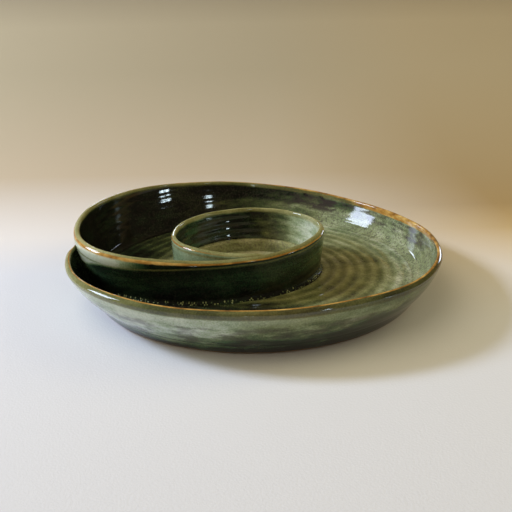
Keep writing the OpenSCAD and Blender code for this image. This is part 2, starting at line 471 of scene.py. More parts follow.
# Warmth where thin, depths where pooled, and how far the rim's depth carries on to the faces
THIN_WARM = 0.85
POOLED = 0.98
FOOT_POOLED = 0.97
RIM_PULL = 0.8

# Short dark cracks in the glaze below the rim: rows of (path angle at the rim, lean, reach, width)
CRACKS = ((429.8, -9, 0.14, 0.7), (423.2, -14, 0.2, 0.9))


def crack(a, t):
    """Depth of the cracks at path angle a and share t of the inner face."""
    return max(bell(a, at + lean_by * (1 - t), width) * smooth(1 - reach, 1 - reach / 2, t)
               for at, lean_by, reach, width in CRACKS)


def paint_rim(a, t):
    """Glaze on the rim, whose normal is tilted by t: 0 outwards, 90 up, 180 inwards."""
    line = linear(INNER_LINE, a)
    inner_t = toward(t, min(t, line), smooth(*AMBER_IN, a) * smooth(*AMBER_OUT, a))
    edge = max(linear(INNER_BREAK, a) * bell(inner_t, line, linear(INNER_WIDTH, a)),
               linear(OUTER_BREAK, a) * bell(t, OUTER_LINE, OUTER_WIDTH))
    # The divider's outermost rim takes the outer face's depth, with its painted light and painted
    # sheen
    face_share = smooth(*DIVIDER_RIM, a) * smooth(*RIM_FACE_TILT, t)
    below = linear(OUTER_DEPTH_AND_PAINTED_LIGHT, a)
    below -= below * linear(UPPER_PAINTED_SHEEN, a)
    depth = toward(linear(RIM_DEPTH, a), below, face_share)
    return depth, THIN_WARM - THIN_WARM * face_share, edge, 0.1, 0.1


def paint_outer(a, t):
    """Glaze on a wall's outer face, at share t of its height."""
    divider = smooth(*DIVIDER_GLAZE, a)
    front = smooth(*FRONT_GLAZE, a)
    # Painted sheen: the pale band under the rim stands in for the left window's reflection; on the
    # outer wall it ends just below the rim's amber
    pale_low = 0.62 + 0.24 * divider
    below_rim = smooth(0.97, 0.93, t) + divider - smooth(0.97, 0.93, t) * divider
    pale = linear(UPPER_PAINTED_SHEEN, a) * smooth(pale_low, pale_low + 0.12, t) * below_rim
    thin = smooth(0.92, 0.96, t) * (1 - pale)
    # Glaze that has run down: black at the divider's foot, dark clouds at the outer wall's
    pooled = smooth(0.4, 0.1, t) * divider
    foot = smooth(0.3 + 0.3 * front, 0, t) * (0.4 + 0.6 * front)
    # Painted light: the depth is pale at the left where the window lights and mirrors the face, darker
    # round the right in shade; elsewhere it follows the glaze's thickness
    depth = linear(OUTER_DEPTH_AND_PAINTED_LIGHT, a)
    band = 0.16 * bell(t, 0.62, 0.2) * smooth(0.4, 0.7, depth)
    depth = depth - band + (FOOT_POOLED - depth) * pooled + 0.52 * (1 - divider) * foot
    depth = toward(depth, 0.05, pale)
    depth += (linear(RIM_DEPTH, a) - depth) * RIM_PULL * thin
    warm = linear(OUTER_WARM, a) * (1 - pooled) * (1 - 0.6 * smooth(0.7, 0.3, t))
    warm = toward(warm, THIN_WARM, thin)
    edge = 0.5 * linear(OUTER_BREAK, a) * smooth(0.97, 1, t) * (1 - pale)
    blotch = smooth(0.84, 0.58, t) * (1 - 0.7 * divider)
    return depth, warm, edge, 0.3, blotch


def paint_inner(a, t):
    """Glaze on a wall's inner face, at share t of its height."""
    thin = smooth(0.93, 1, t)
    # Painted light: the depth is darker where the inner face is turned away from the left light and
    # paler where it faces it; elsewhere it follows the glaze's thickness
    depth = linear(INNER_DEPTH_AND_PAINTED_LIGHT, a)
    pooled = smooth(0.28, 0.06, t) * smooth(0.3, 0.6, depth)
    depth = depth + (POOLED - depth) * 0.8 * pooled
    depth += (linear(RIM_DEPTH, a) - depth) * RIM_PULL * thin
    depth += 0.6 * (1 - depth) * crack(a, t)
    depth += linear(INNER_TOP_DARK, a) * smooth(0.5, 0.72, t) * (1 - thin)
    warm = toward(linear(INNER_WARM, a), THIN_WARM, thin)
    amber = smooth(*AMBER_IN, a) * smooth(*AMBER_OUT, a)
    edge = (0.6 + 0.4 * amber) * linear(INNER_BREAK, a) * smooth(0.96 - 0.07 * amber, 1, t)
    right = smooth(*STREAKS_IN, a) * smooth(*STREAKS_OUT, a)
    streaks = right * smooth(0.35, 0.55, t) * smooth(0.97, 0.88, t)
    blotch = 0.5 + 0.4 * smooth(*BOWL_STREAKS, a) + 0.7 * streaks
    return depth, warm, edge, linear(INNER_SPECK, a), blotch


def paint_edge(a, t):
    """Glaze on the disc's edge below the outer wall, at share t of its height."""
    # The edge takes the outer face's depth, with its painted light and shade
    depth = linear(OUTER_DEPTH_AND_PAINTED_LIGHT, min(a, DIVIDER_START)) + 0.4
    depth = toward(depth, FOOT_POOLED, smooth(0.8, 0.1, t))
    return depth, 0.15, 0.4 * smooth(0.1, 0, t), 0.4, 0.7


PAINTERS = {"rim": paint_rim, "outer": paint_outer, "inner": paint_inner, "edge": paint_edge}
SUNK_FOOT_COAT = (0.9, 0.2, 0, 0, 0)


def paint_wall(a, zone, t):
    """Glaze (depth, warm, edge, speck, blotch) at path angle a of a wall."""
    return PAINTERS[zone](a, t) if zone in PAINTERS else SUNK_FOOT_COAT


# ---- meshes ----

PAINT = ("depth", "warm", "edge", "speck", "blotch")
SHARP_ANGLE = math.radians(42)


def smooth_mesh(name, points, faces, material):
    """A smooth-shaded mesh in metres."""
    mesh = bpy.data.meshes.new(name)
    mesh.from_pydata(points, [], faces)
    mesh.polygons.foreach_set("use_smooth", [True] * len(mesh.polygons))
    mesh.materials.append(material)
    return mesh


def make_piece(name, points, faces, paints, slot, node):
    """A closed, painted mesh that stands for a CAD node."""
    mesh = smooth_mesh(name, [[c * MM for c in p] for p in points], faces, FINISHES[slot])
    mesh.set_sharp_from_angle(angle=SHARP_ANGLE)
    for channel, layer in enumerate(PAINT):
        attribute = mesh.attributes.new(layer, "FLOAT", "POINT")
        attribute.data.foreach_set("value", [p[channel] for p in paints])
    mesh.validate()
    piece = add_object(name, mesh)
    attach(piece, "root")
    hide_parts(node)
    return piece


def skin(rings, looped):
    """Outward faces through rings that turn left seen from behind; open ends get flat caps."""
    n, m = len(rings[0]), len(rings)
    faces = []
    for i in range(m if looped else m - 1):
        here, there = i * n, (i + 1) % m * n
        for j in range(n):
            k = (j + 1) % n
            faces.append((here + j, there + j, there + k, here + k))
    if not looped:
        faces.append(tuple(range(n)))
        faces.append(tuple(range(m * n - 1, (m - 1) * n - 1, -1)))
    return faces


def place(a, u, z):
    """The point at path angle a, u outwards of the wall's middle and z above the table."""
    p = middle(a) + u * outward(a)
    return (p.x, p.y, z)


def sweep(name, angles, section, paint, slot, node, looped=False):
    """A piece through the sections (u, z, zone, t) at the given path angles."""
    rings = [[(a, *p) for p in section(a)] for a in angles]
    flat = [p for ring in rings for p in ring]
    points = [place(a, u, z) for a, u, z, _, _ in flat]
    paints = [paint(a, zone, t) for a, _, _, zone, t in flat]
    return make_piece(name, points, skin(rings, looped), paints, slot, node)


# ---- walls ----

# A strip end's hidden face lies this deep in the divider, and its tip is this thick at most.
# The end of the strip also sinks by a share of its height.
SUNK_OVERLAP = 0.25
TIP = 0.2
END_DROP = 0.05


def pressed(section, a, turn, side, full, drop):
    """The section of a strip end, kept on its side of the divider and tapered onto it."""
    points = []
    for u, z, zone, t in section:
        seat = face_offset(a, a + turn, z, side) - side * SUNK_OVERLAP
        proud = side * (u - seat)
        proud = max(proud, 0) if proud < TIP else TIP + (proud - TIP) * full
        lower = z - max(z - FLOOR_TOP, 0) * drop * (1 - full)
        points.append((seat + side * proud, lower, zone, t))
    return points


def outer_section(a):
    """The outer wall's section, which starts on the divider's outer face."""
    section = wall_section(a, coved=True)
    if a > WALL_START + START_OVERLAP:
        return section
    full = smooth(WALL_START, WALL_START + START_TAPER, a)
    return pressed(section, a, TURN, 1, full, 0)


def bowl_section(a):
    """The dip bowl's section, which ends on the divider's inner face."""
    section = wall_section(a)
    if a < WALL_END - END_OVERLAP:
        return section
    full = smooth(WALL_END, WALL_END - END_TAPER, a)
    return pressed(section, a, -TURN, -1, full, END_DROP)


# ---- coils ----

COIL_STEPS = 14
WALL_ROWS = 3
HOLLOW_POWER = 0.62
LEDGE_POWER = 1.35
# Share of the wall's height that a thin seam coil covers
SEAM_COVER = 0.12
# A seam coil's ends: least share of its width, and degrees of path to grow by the whole width
TAPER_LEAST = 0.2
TAPER_LENGTH = 15


def taper(a, ends):
    """Share of a seam coil's width at path angle a, smaller near its ends."""
    return min(1, TAPER_LEAST + (a - ends[0]) / TAPER_LENGTH,
               TAPER_LEAST + (ends[1] - a) / TAPER_LENGTH)


def coil_section(a, side, cover, width, shape):
    """Closed section of a coil in the corner of wall and floor, up to share cover of the wall."""
    foot = side * thick(a) / 2
    height = at_share(a, cover) - FLOOR_TOP
    points = []
    for i in range(WALL_ROWS + 1):
        s = cover * i / WALL_ROWS
        points.append((foot + lean(a, s) - side * SUNK_IN, at_share(a, s), "coil", 1))
    for i in range(1, COIL_STEPS):
        x = i / COIL_STEPS
        y = shape(x)
        points.append((foot + lean(a, cover) * y + side * width * x, FLOOR_TOP + height * y,
                       "coil", x))
    points.append((foot + side * width, FLOOR_TOP - SUNK, "coil", 0))
    return points if side < 0 else points[::-1]


def hollow(x):
    """Height from 1 to 0 of a coil smoothed with a finger, at share x of its width."""
    return (1 - x ** HOLLOW_POWER) ** (1 / HOLLOW_POWER)


def ledge(x):
    """Height from 1 to 0 of a coil left as a rounded ledge, at share x of its width."""
    return (1 + math.cos(math.pi * x ** LEDGE_POWER)) / 2


# Beads left by the tool: rows of (share of the coil's width, shift in pitches), and sizes
BEAD_ROWS = ((0.34, 0.0), (0.74, 0.5))
BEAD_PITCH = 1.9
BEAD_R = 0.66
BEAD_HEIGHT = 0.46
# How the beads differ: in size, along the coil in pitches, and across it in widths
BEAD_SIZES = (-0.15, 1.15)
BEAD_STRAY_ALONG = 0.4
BEAD_STRAY_ACROSS = 0.14

FINE_ANGLE = 0.1


def travelled(start, end):
    """Evenly spaced path angles, and the length of the wall in millimetres up to each."""
    fine = steps(start, end, FINE_ANGLE)
    lengths = [0]
    for a, b in zip(fine, fine[1:]):
        lengths.append(lengths[-1] + (middle(b) - middle(a)).length)
    return fine, lengths


OUTER_COIL_WAY = travelled(*OUTER_COIL_ENDS)


def length_at(a):
    """Length in millimetres along the outer coil up to path angle a."""
    fine, lengths = OUTER_COIL_WAY
    x = (a - fine[0]) / (fine[1] - fine[0])
    i = min(int(x), len(fine) - 2)
    return toward(lengths[i], lengths[i + 1], x - i)


def even_angles(step):
    """Path angles a step in millimetres apart along the outer coil."""
    fine, lengths = OUTER_COIL_WAY
    count = round(lengths[-1] / step)
    angles, j = [], 0
    for i in range(count + 1):
        way = lengths[-1] * i / count
        while j < len(lengths) - 2 and lengths[j + 1] < way:
            j += 1
        part = (way - lengths[j]) / (lengths[j + 1] - lengths[j])
        angles.append(toward(fine[j], fine[j + 1], part))
    return angles


# Factors of bead number, row and result that make the sine look random
SCATTER = (12.9898, 78.233, 43758.5453)


def scatter(i, j):
    """A fixed pseudo-random number from 0 to 1 for bead i of row j."""
    x = math.sin(SCATTER[0] * i + SCATTER[1] * j) * SCATTER[2]
    return x - math.floor(x)


def bead(a, x):
    """Height from 0 to 1 of the tool's beads at path angle a and share x of the coil's width."""
    best = 0
    for row, (at, shift) in enumerate(BEAD_ROWS):
        way = length_at(a) / BEAD_PITCH + shift
        i = round(way)
        size = BEAD_SIZES[1] * scatter(i, row) + BEAD_SIZES[0]
        off = (way - i + BEAD_STRAY_ALONG * (scatter(i, row + 7) - 0.5)) * BEAD_PITCH
        across = (x - at - BEAD_STRAY_ACROSS * (scatter(i, row + 3) - 0.5)) * OUTER_COIL_W
        far = (off * off + across * across) / (BEAD_R * BEAD_R)
        best = max(best, size * max(0, 1 - far) ** 0.5)
    return best


def outer_coil(a):
    """The tooled coil's section, with its beads raised and their height as t."""
    size = taper(a, OUTER_COIL_ENDS)
    section = coil_section(a, 1, SEAM_COVER, OUTER_COIL_W * size, hollow)
    raised = []
    for u, z, zone, t in section:
        height = bead(a, t) * size if 0 < t < 1 else 0
        raised.append((u, z + BEAD_HEIGHT * height, zone, height))
    return raised


def inner_coil(a):
    """The inner seam coil's section."""
    return coil_section(a, -1, SEAM_COVER, INNER_COIL_W * taper(a, INNER_COIL_ENDS), hollow)


def bowl_coil(a):
    """The section of the ledge round the dip bowl's floor."""
    return coil_section(a, -1, COVE_ROW, BOWL_COIL_W, ledge)


def paint_outer_coil(a, zone, t):
    """Nearly black glaze with paler, warmer beads, whose height is t."""
    return 0.96 - 0.72 * smooth(0.15, 0.7, t), 0.3 + 0.5 * t, 0.2 * smooth(0.3, 0.8, t), 0.2, 0.2


def paint_inner_coil(a, zone, t):
    """Plain dark glaze."""
    return 0.7, 0.5, 0, 0.2, 0.4


LEDGE_LINE = 0.3


def paint_bowl_coil(a, zone, t):
    """Pale glaze that breaks a little amber on the ledge's edge, at share LEDGE_LINE."""
    edge = 0.22 * bell(t, LEDGE_LINE, 0.12)
    depth = 0.28 - 0.18 * bell(t, LEDGE_LINE, 0.16) + 0.12 * smooth(0.5, 1, t)
    return depth, 0.7, edge, 0.8, 0.6


# Upright coils: shares of the reach with a point on each wall, the share where the open side
# is hollowed, and the share of the height between two rings
LUTE_COLUMNS = (0, 0.25, 0.5, 0.75, 1)
LUTE_HOLLOW = 0.7
LUTE_STEP = 0.05
LUTE_COAT = (0.8, 0.3, 0, 0.2, 0.2)


def lute_points(s, gap, reach, side, z):
    """Level ring of the upright coil in the gap where a wall's end runs onto the divider."""
    start = gap[0] + s * (gap[1] - gap[0])
    angles = [start + t * reach for t in (*LUTE_COLUMNS, LUTE_HOLLOW)]
    near = [(a, face(a, z, side)) for a in angles]
    far = [(a, face_offset(a, a - side * TURN, z, -side)) for a in angles]
    hollowed = (angles[-1], (near.pop()[1] + far.pop()[1]) / 2)
    return [place(a, u, z) for a, u in (*far, hollowed, *near[::-1])]


def lute(name, gap, reach, side, foot, head, slot, node):
    """An upright coil from height foot to height head."""
    rings = [lute_points(s, gap, reach, side, foot + s * (head - foot))
             for s in steps(0, 1, LUTE_STEP)]
    points = [p for ring in rings for p in ring]
    paints = [LUTE_COAT] * len(points)
    return make_piece(name, points, skin(rings, False), paints, slot, node)


# ---- disc and foot ----

DISC_STEPS = 360
FLOOR_ROWS = 108
EDGE_STEPS = 10
# Share of the ring depth in the broad rings, rows of (pitch, height, phase) of finer rings, and
# how the rings stray from true circles
BROAD_RINGS = 0.75
FINE_RINGS = ((3.2, 0.06, 0.3), (2.05, 0.03, 0.1))
RING_STRAY = ((0.5, 1, 40), (0.3, 2, 100))
# Radii over which the rings fade in round the centre
RINGS_FROM = (2, 8)

# Radii over which the floor's glaze turns paler at the right, darker at the left and in front
# of the bowl, and paler in the bowl
RIGHT_PALE_R = (96, 124)
LEFT_DARK_R = (66, 108)
FRONT_DARK_R = (60, 74)
BOWL_PALE_R = (52, 44)
# Directions on the plate where the dark parts are darkest
LEFT_DARK_AT = 190
FRONT_DARK_AT = 235


def strip_angle(theta):
    """Path angle of the outer wall over the plate's angle theta."""
    return theta if theta >= WALL_START else theta + TURN


def floor_height(r, theta):
    """Height of the floor, with the throwing rings as soft grooves in a shallow spiral."""
    stray = waves(RING_STRAY, theta)
    wave = 0.5 + 0.5 * math.cos(math.tau * (r - GROOVE_R + stray) / RING_PITCH)
    fine = sum(depth * math.sin(math.tau * (r / pitch + theta / TURN + phase))
               for pitch, depth, phase in FINE_RINGS)
    inside = smooth(GROOVE_R + RING_PITCH / 2, GROOVE_R, r) * smooth(*RINGS_FROM, r)
    return FLOOR_TOP - inside * (BROAD_RINGS * RING_DEPTH * wave - fine)


def paint_floor(r, theta):
    """Glaze on the floor: darker in the grooves, greener towards the flared wall."""
    wave = 0.5 + 0.5 * math.cos(math.tau * (r - GROOVE_R) / RING_PITCH)
    depth = 0.28 + 0.18 * wave * smooth(GROOVE_R + 6, GROOVE_R, r)
    right = smooth(*RIGHT_PALE_R, r) * smooth(-0.2, 0.6, cos_deg(theta))
    left = smooth(0.2, 0.9, cos_deg(theta - LEFT_DARK_AT)) * smooth(*LEFT_DARK_R, r)
    front = smooth(0.35, 0.9, cos_deg(theta - FRONT_DARK_AT)) * smooth(*FRONT_DARK_R, r)
    depth -= 0.12 * right
    depth += 0.45 * max(left, front) - 0.32 * smooth(*BOWL_PALE_R, r)
    return depth, 0.68 - 0.35 * right - 0.4 * left, 0, 0.45 + 0.5 * right, 0.6


def outer_radius(a, z):
    """Radius of a wall's outer face at height z."""
    x, y, _ = place(a, face(a, z, 1), z)
    return math.hypot(x, y)


def disc_rim(theta):
    """Radius and slope of the outer wall's outer face at the floor's top."""
    a = strip_angle(theta)
    radius = outer_radius(a, FLOOR_TOP)
    wall_slope = outer_radius(a, FLOOR_TOP + 1) - radius
    if a < WALL_START + START_TAPER:
        before = outer_radius(a + TURN, FLOOR_TOP)
        radius = toward(before, radius, smooth(WALL_START, WALL_START + START_TAPER, a))
    return radius, wall_slope


HIDDEN_COAT = (0.8, 0.6, 0, 0, 0)
# Slope of the disc's edge where it leaves the foot, and how far it may pass EDGE_R
EDGE_SLOPE = 0.85
EDGE_SPARE = 0.4
# Insets from the edge of the row hidden under the wall and of the floor's first row
HIDDEN_INSET = 1.2
FLOOR_INSET = 3
HIDDEN_DROP = 0.1
LAST_ROW_R = 1
# Insets from the ledge of the underside's rows
UNDERSIDE_INSETS = (30, 4, 0)


def disc_profile(theta):
    """Closed profile (r, z, paint) of the disc at angle theta, from its underside to its top."""
    rim_r, rim_slope = disc_rim(theta)
    rim_r = min(rim_r, EDGE_R + EDGE_SPARE)
    points = [(LEDGE_R - inset, RECESS, HIDDEN_COAT) for inset in UNDERSIDE_INSETS]
    points.append((LEDGE_R, BARE_EDGE, HIDDEN_COAT))
    rise = FLOOR_TOP - BARE_EDGE
    for i in range(EDGE_STEPS + 1):
        x = i / EDGE_STEPS
        r = cubic(x, rise, GLAZE_LINE_R, EDGE_SLOPE, rim_r, rim_slope)
        points.append((r, BARE_EDGE + rise * x, paint_wall(strip_angle(theta), "edge", x)))
    points.append((rim_r - HIDDEN_INSET, FLOOR_TOP - HIDDEN_DROP, HIDDEN_COAT))
    for i in range(FLOOR_ROWS):
        r = toward(rim_r - FLOOR_INSET, LAST_ROW_R, i / (FLOOR_ROWS - 1))
        points.append((r, floor_height(r, theta), paint_floor(r, theta)))
    return points


def revolve(name, profile, count, centres, slot, node):
    """A piece turned from closed profiles; centres are the (z, paint) on the axis, or none."""
    profiles = [profile(TURN * i / count) for i in range(count)]
    n = len(profiles[0])
    points, paints, faces = [], [], []
    for i, rows in enumerate(profiles):
        theta = TURN * i / count
        for r, z, coat in rows:
            points.append((r * cos_deg(theta), r * sin_deg(theta), z))
            paints.append(coat)
    for i in range(count):
        here, there = i * n, (i + 1) % count * n
        for j in range(n - 1 if centres else n):
            k = (j + 1) % n
            faces.append((here + j, there + j, there + k, here + k))
    if centres:
        for end, (z, coat) in zip((0, n - 1), centres):
            points.append((0, 0, z))
            paints.append(coat)
            hub = len(points) - 1
            for i in range(count):
                here, there = i * n + end, (i + 1) % count * n + end
                faces.append((here, hub, there) if end == 0 else (there, hub, here))
    return make_piece(name, points, faces, paints, slot, node)


# The foot ring's closed profile, with worn corners: rows of (radius, height)
FOOT_IN_R = FOOT_R - FOOT_W
FOOT_PATH = (
    (FOOT_IN_R, RECESS), (FOOT_IN_R, 1.4), (FOOT_IN_R + 0.15, 0.35), (FOOT_IN_R + 0.6, 0),
    (FOOT_IN_R + 4, 0), (FOOT_R - 6, 0), (FOOT_R - 0.6, 0), (FOOT_R - 0.1, 0.25),
    (FOOT_R + 0.7, 0.75), (GLAZE_LINE_R, BARE_EDGE), (LEDGE_R, BARE_EDGE), (LEDGE_R, RECESS),
)


def foot_profile(theta):
    """The foot ring's profile with its paint, the same at every angle."""
    return [(r, z, HIDDEN_COAT) for r, z in FOOT_PATH]


# ---- materials ----

# The Mix node's colour sockets, which share their names with its other sockets
MIX_FROM = 6
MIX_TO = 7
MIX_RESULT = 2


class Nodes:
    """Short calls for building a node tree."""

    def __init__(self, name):
        self.material = bpy.data.materials.new(name)
        self.material.use_nodes = True
        self.tree = self.material.node_tree
        self.shader = self.tree.nodes["Principled BSDF"]
        self.place = self.node("ShaderNodeTexCoord").outputs["Object"]

    def node(self, kind, **settings):
        """A new node with the given settings."""
        made = self.tree.nodes.new(kind)
        for key, setting in settings.items():
            setattr(made, key, setting)
        return made

    def feed(self, socket, source):
        """Links a socket into another, or sets it to a plain value."""
        if isinstance(source, bpy.types.NodeSocket):
            self.tree.links.new(source, socket)
        else:
            socket.default_value = source

    def shade(self, name, source):
        """Feeds one of the shader's own sockets."""
        self.feed(self.shader.inputs[name], source)

    def attribute(self, layer):
        """A painted layer of the mesh."""
        return self.node("ShaderNodeAttribute", attribute_name=layer).outputs["Fac"]

    def math(self, operation, a, b=0.0, clamp=False):
        """One sum or product of two values."""
        made = self.node("ShaderNodeMath", operation=operation, use_clamp=clamp)
        self.feed(made.inputs[0], a)
        self.feed(made.inputs[1], b)
        return made.outputs[0]

    def noise(self, scale, detail=3.0, roughness=0.5, stretch=(1, 1, 1)):
        """Noise from 0 to 1 around 0.5, with scale in waves per metre."""
        mapped = self.node("ShaderNodeMapping")
        self.feed(mapped.inputs["Vector"], self.place)
        mapped.inputs["Scale"].default_value = stretch
        made = self.node("ShaderNodeTexNoise")
        self.feed(made.inputs["Vector"], mapped.outputs[0])
        made.inputs["Scale"].default_value = scale
        made.inputs["Detail"].default_value = detail
        made.inputs["Roughness"].default_value = roughness
        return made.outputs["Fac"]

    def ramp(self, source, stops):
        """Colour by a value, through rows of (value, colour)."""
        made = self.node("ShaderNodeValToRGB")
        elements = made.color_ramp.elements
        while len(elements) < len(stops):
            elements.new(0.5)
        for element, (at, colour) in zip(elements, stops):
            element.position = at
            element.color = (*colour, 1)
        self.feed(made.inputs["Fac"], source)
        return made.outputs["Color"]

    def mix(self, share, a, b):
        """Colour a share of the way from a to b."""
        made = self.node("ShaderNodeMix", data_type="RGBA")
        self.feed(made.inputs["Factor"], share)
        for socket, colour in ((MIX_FROM, a), (MIX_TO, b)):
            self.feed(made.inputs[socket], (*colour, 1) if isinstance(colour, tuple) else colour)
        return made.outputs[MIX_RESULT]

    def span(self, source, low, high, to_low=0.0, to_high=1.0):
        """A value carried from the range low to high to another range, held at both ends."""
        made = self.node("ShaderNodeMapRange", clamp=True)
        self.feed(made.inputs[0], source)
        for i, number in enumerate((low, high, to_low, to_high)):
            made.inputs[i + 1].default_value = number
        return made.outputs[0]

    def bump(self, height, distance, strength, normal=None):
        """A normal raised by a height, over a distance in metres."""
        made = self.node("ShaderNodeBump")
        made.inputs["Strength"].default_value = strength
        made.inputs["Distance"].default_value = distance
        self.feed(made.inputs["Height"], height)
        if normal is not None:
            self.feed(made.inputs["Normal"], normal)
        return made.outputs["Normal"]


# Glaze colours by depth, green and olive, and the amber of a broken edge by noise
GREEN_STOPS = ((0.0, (0.54, 0.61, 0.50)), (0.2, (0.29, 0.375, 0.235)), (0.4, (0.14, 0.205, 0.105)),
               (0.6, (0.038, 0.090, 0.042)), (0.8, (0.009, 0.026, 0.014)),
               (1.0, (0.0035, 0.005, 0.004)))
OLIVE_STOPS = ((0.0, (0.44, 0.41, 0.21)), (0.2, (0.27, 0.26, 0.105)), (0.4, (0.15, 0.145, 0.050)),
               (0.6, (0.075, 0.072, 0.028)), (0.8, (0.021, 0.021, 0.012)),
               (1.0, (0.005, 0.005, 0.004)))
BREAK_STOPS = ((0.34, (0.58, 0.39, 0.12)), (0.5, (0.37, 0.195, 0.042)),
               (0.68, (0.12, 0.05, 0.013)))
SPECK_COLOUR = (0.066, 0.052, 0.052)
IRON_COLOUR = (0.045, 0.034, 0.034)
GLAZE_IOR = 1.54

# Noises: waves per metre, detail, roughness and stretch (below 1 is longer)
CLOUD = (34, 4, 0.6)
STREAK = (120, 3, 0.6, (0.22, 0.22, 1))
DASH = (260, 3, 0.6, (0.25, 0.25, 1))
FINE = (900, 2, 0.6)
WARM_CLOUD = (22, 3, 0.5)
SPOTS = (560, 4, 0.7)
IRON = (130, 4, 0.65, (0.4, 0.4, 1))
EDGE_BREAK = (120, 4, 0.6)
AMBER_RUN = (150, 4, 0.6, (0.5, 0.5, 1))
GLOSS_CLOUD = (48, 3)
WAVINESS = (110, 2, 0.5, (0.3, 0.3, 1))
PITS = (1400, 2, 0.5)


def glaze(name):
    """Glossy reactive glaze that pools dark, breaks amber on edges and carries fine spots."""
    n = Nodes(name)

    def swing(source, amount):
        """A noise moved to swing round 0 by an amount."""
        return n.math("MULTIPLY", n.math("SUBTRACT", source, 0.5), amount)

    # Body: the painted depth, clouded and streaked, picks the colour; the depth carries painted light
    # and shade as well as the glaze's thickness
    blotch = n.attribute("blotch")
    shift = n.math("ADD", swing(n.noise(*CLOUD), 0.5), swing(n.noise(*FINE), 0.4))
    for row, least in ((STREAK, 0.25), (DASH, 0.1)):
        shift = n.math("ADD", shift, swing(n.noise(*row), n.span(blotch, 0, 1, least, 0.9)))
    depth = n.math("ADD", n.attribute("depth"), shift, clamp=True)
    warm = n.math("ADD", n.attribute("warm"), swing(n.noise(*WARM_CLOUD), 0.9), clamp=True)
    body = n.mix(warm, n.ramp(depth, GREEN_STOPS), n.ramp(depth, OLIVE_STOPS))

    # Fine dark spots, and iron streaks where the blotches are strong
    spots = n.span(n.noise(*SPOTS), 0.47, 0.65)
    spots = n.math("MULTIPLY", spots, n.attribute("speck"), clamp=True)
    body = n.mix(n.math("MULTIPLY", spots, 0.8), body, SPECK_COLOUR)
    iron = n.math("ADD", n.noise(*IRON), swing(blotch, 0.1))
    iron = n.math("MULTIPLY", n.span(iron, 0.5, 0.64), n.span(blotch, 0.55, 1.2))
    body = n.mix(n.math("MULTIPLY", iron, 0.85), body, IRON_COLOUR)

    # Amber on the edges
    edge = n.math("ADD", n.attribute("edge"), swing(n.noise(*EDGE_BREAK), 0.6))
    edge = n.math("MULTIPLY", n.span(edge, 0.2, 0.6), n.span(n.attribute("edge"), 0.05, 0.3))
    amber = n.ramp(n.noise(*AMBER_RUN), BREAK_STOPS)
    n.shade("Base Color", n.mix(edge, body, amber))

    # Gloss and surface
    rough = n.span(n.noise(*GLOSS_CLOUD), 0.3, 0.7, 0.035, 0.08)
    n.shade("Roughness", n.math("ADD", rough, n.math("MULTIPLY", edge, 0.03)))
    n.shade("IOR", GLAZE_IOR)
    waviness = n.bump(n.noise(*WAVINESS), 0.0003, 0.2)
    n.shade("Normal", n.bump(n.noise(*PITS), 0.0001, 0.12, waviness))
    return n.material


CLAY_STOPS = ((0.25, (0.20, 0.105, 0.055)), (0.75, (0.36, 0.22, 0.13)))
GRAIN_COLOUR = (0.07, 0.04, 0.03)


def bare_clay(name):
    """Unglazed stoneware: brown, mealy, with dark iron grains."""
    n = Nodes(name)
    body = n.ramp(n.noise(90, 5, 0.65), CLAY_STOPS)
    grains = n.span(n.noise(1500, 2, 0.6), 0.6, 0.7)
    n.shade("Base Color", n.mix(grains, body, GRAIN_COLOUR))
    n.shade("Roughness", n.span(n.noise(300), 0.3, 0.7, 0.7, 0.9))
    n.shade("Normal", n.bump(n.noise(1200, 3, 0.7), 0.0004, 0.5))
    return n.material


GLAZES = ("floor_glaze", "wall_glaze", "divider_glaze", "bowl_glaze", "seam_glaze")
# The materials by the names of the record's slots
FINISHES = {slot: glaze(slot) for slot in GLAZES}
FINISHES["bare_clay"] = bare_clay("bare_clay")


# ---- the server ----

# Steps of the sweeps in degrees, of the tooled coil in millimetres, and round the foot
OUTER_STEP = 0.6
DIVIDER_STEP = 1
BOWL_STEP = 1.25
COIL_STEP = 0.34
FOOT_STEPS = 240


def build_server():
    """The ten members of the server, each in the place of its CAD node."""
    under = (RECESS, HIDDEN_COAT)
    over = (floor_height(0, 0), paint_floor(0, 0))
    revolve("tray_floor", disc_profile, DISC_STEPS, (under, over), "floor_glaze", "floor_disc")
    revolve("bare_foot", foot_profile, FOOT_STEPS, None, "bare_clay", "foot_ring")
    sweep("flared_wall", steps(WALL_START, DIVIDER_START, OUTER_STEP), outer_section,
          paint_wall, "wall_glaze", "outer_wall")
    sweep("divider", steps(DIVIDER_START, BOWL_START, DIVIDER_STEP), wall_section,
          paint_wall, "divider_glaze", "divider_wall")
    sweep("dip_bowl", steps(BOWL_START, WALL_END, BOWL_STEP), bowl_section,
          paint_wall, "bowl_glaze", "dip_bowl_wall")
    sweep("tooled_seam", even_angles(COIL_STEP), outer_coil,
          paint_outer_coil, "seam_glaze", "outer_seam_coil")
    sweep("inner_seam", steps(*INNER_COIL_ENDS, DIVIDER_STEP), inner_coil,
          paint_inner_coil, "seam_glaze", "inner_seam_coil")
    sweep("dip_bowl_ledge", steps(BOWL_COIL_START, WALL_END, BOWL_STEP), bowl_coil,
          paint_bowl_coil, "seam_glaze", "dip_bowl_seam_coil", looped=True)
    lute("start_seam", START_GAP, START_REACH, -1, FLOOR_TOP + COVE_LEAST * COVE,
         rim_height(WALL_START) - RIM_GAP, "divider_glaze", "wall_start_seam_coil")
    lute("end_seam", END_GAP, END_REACH, 1, FLOOR_TOP,
         rim_height(WALL_END) - RIM_GAP, "bowl_glaze", "wall_end_seam_coil")


# ---- stage and lights ----

# The paper, in metres: where it starts and bends up, and the radius of the bend
SWEEP_FRONT = -3.0
SWEEP_LEVEL = -0.0002
SWEEP_BEND = 0.30
SWEEP_RADIUS = 0.55
SWEEP_HEIGHT = 1.6
SWEEP_HALF_WIDTH = 3.0
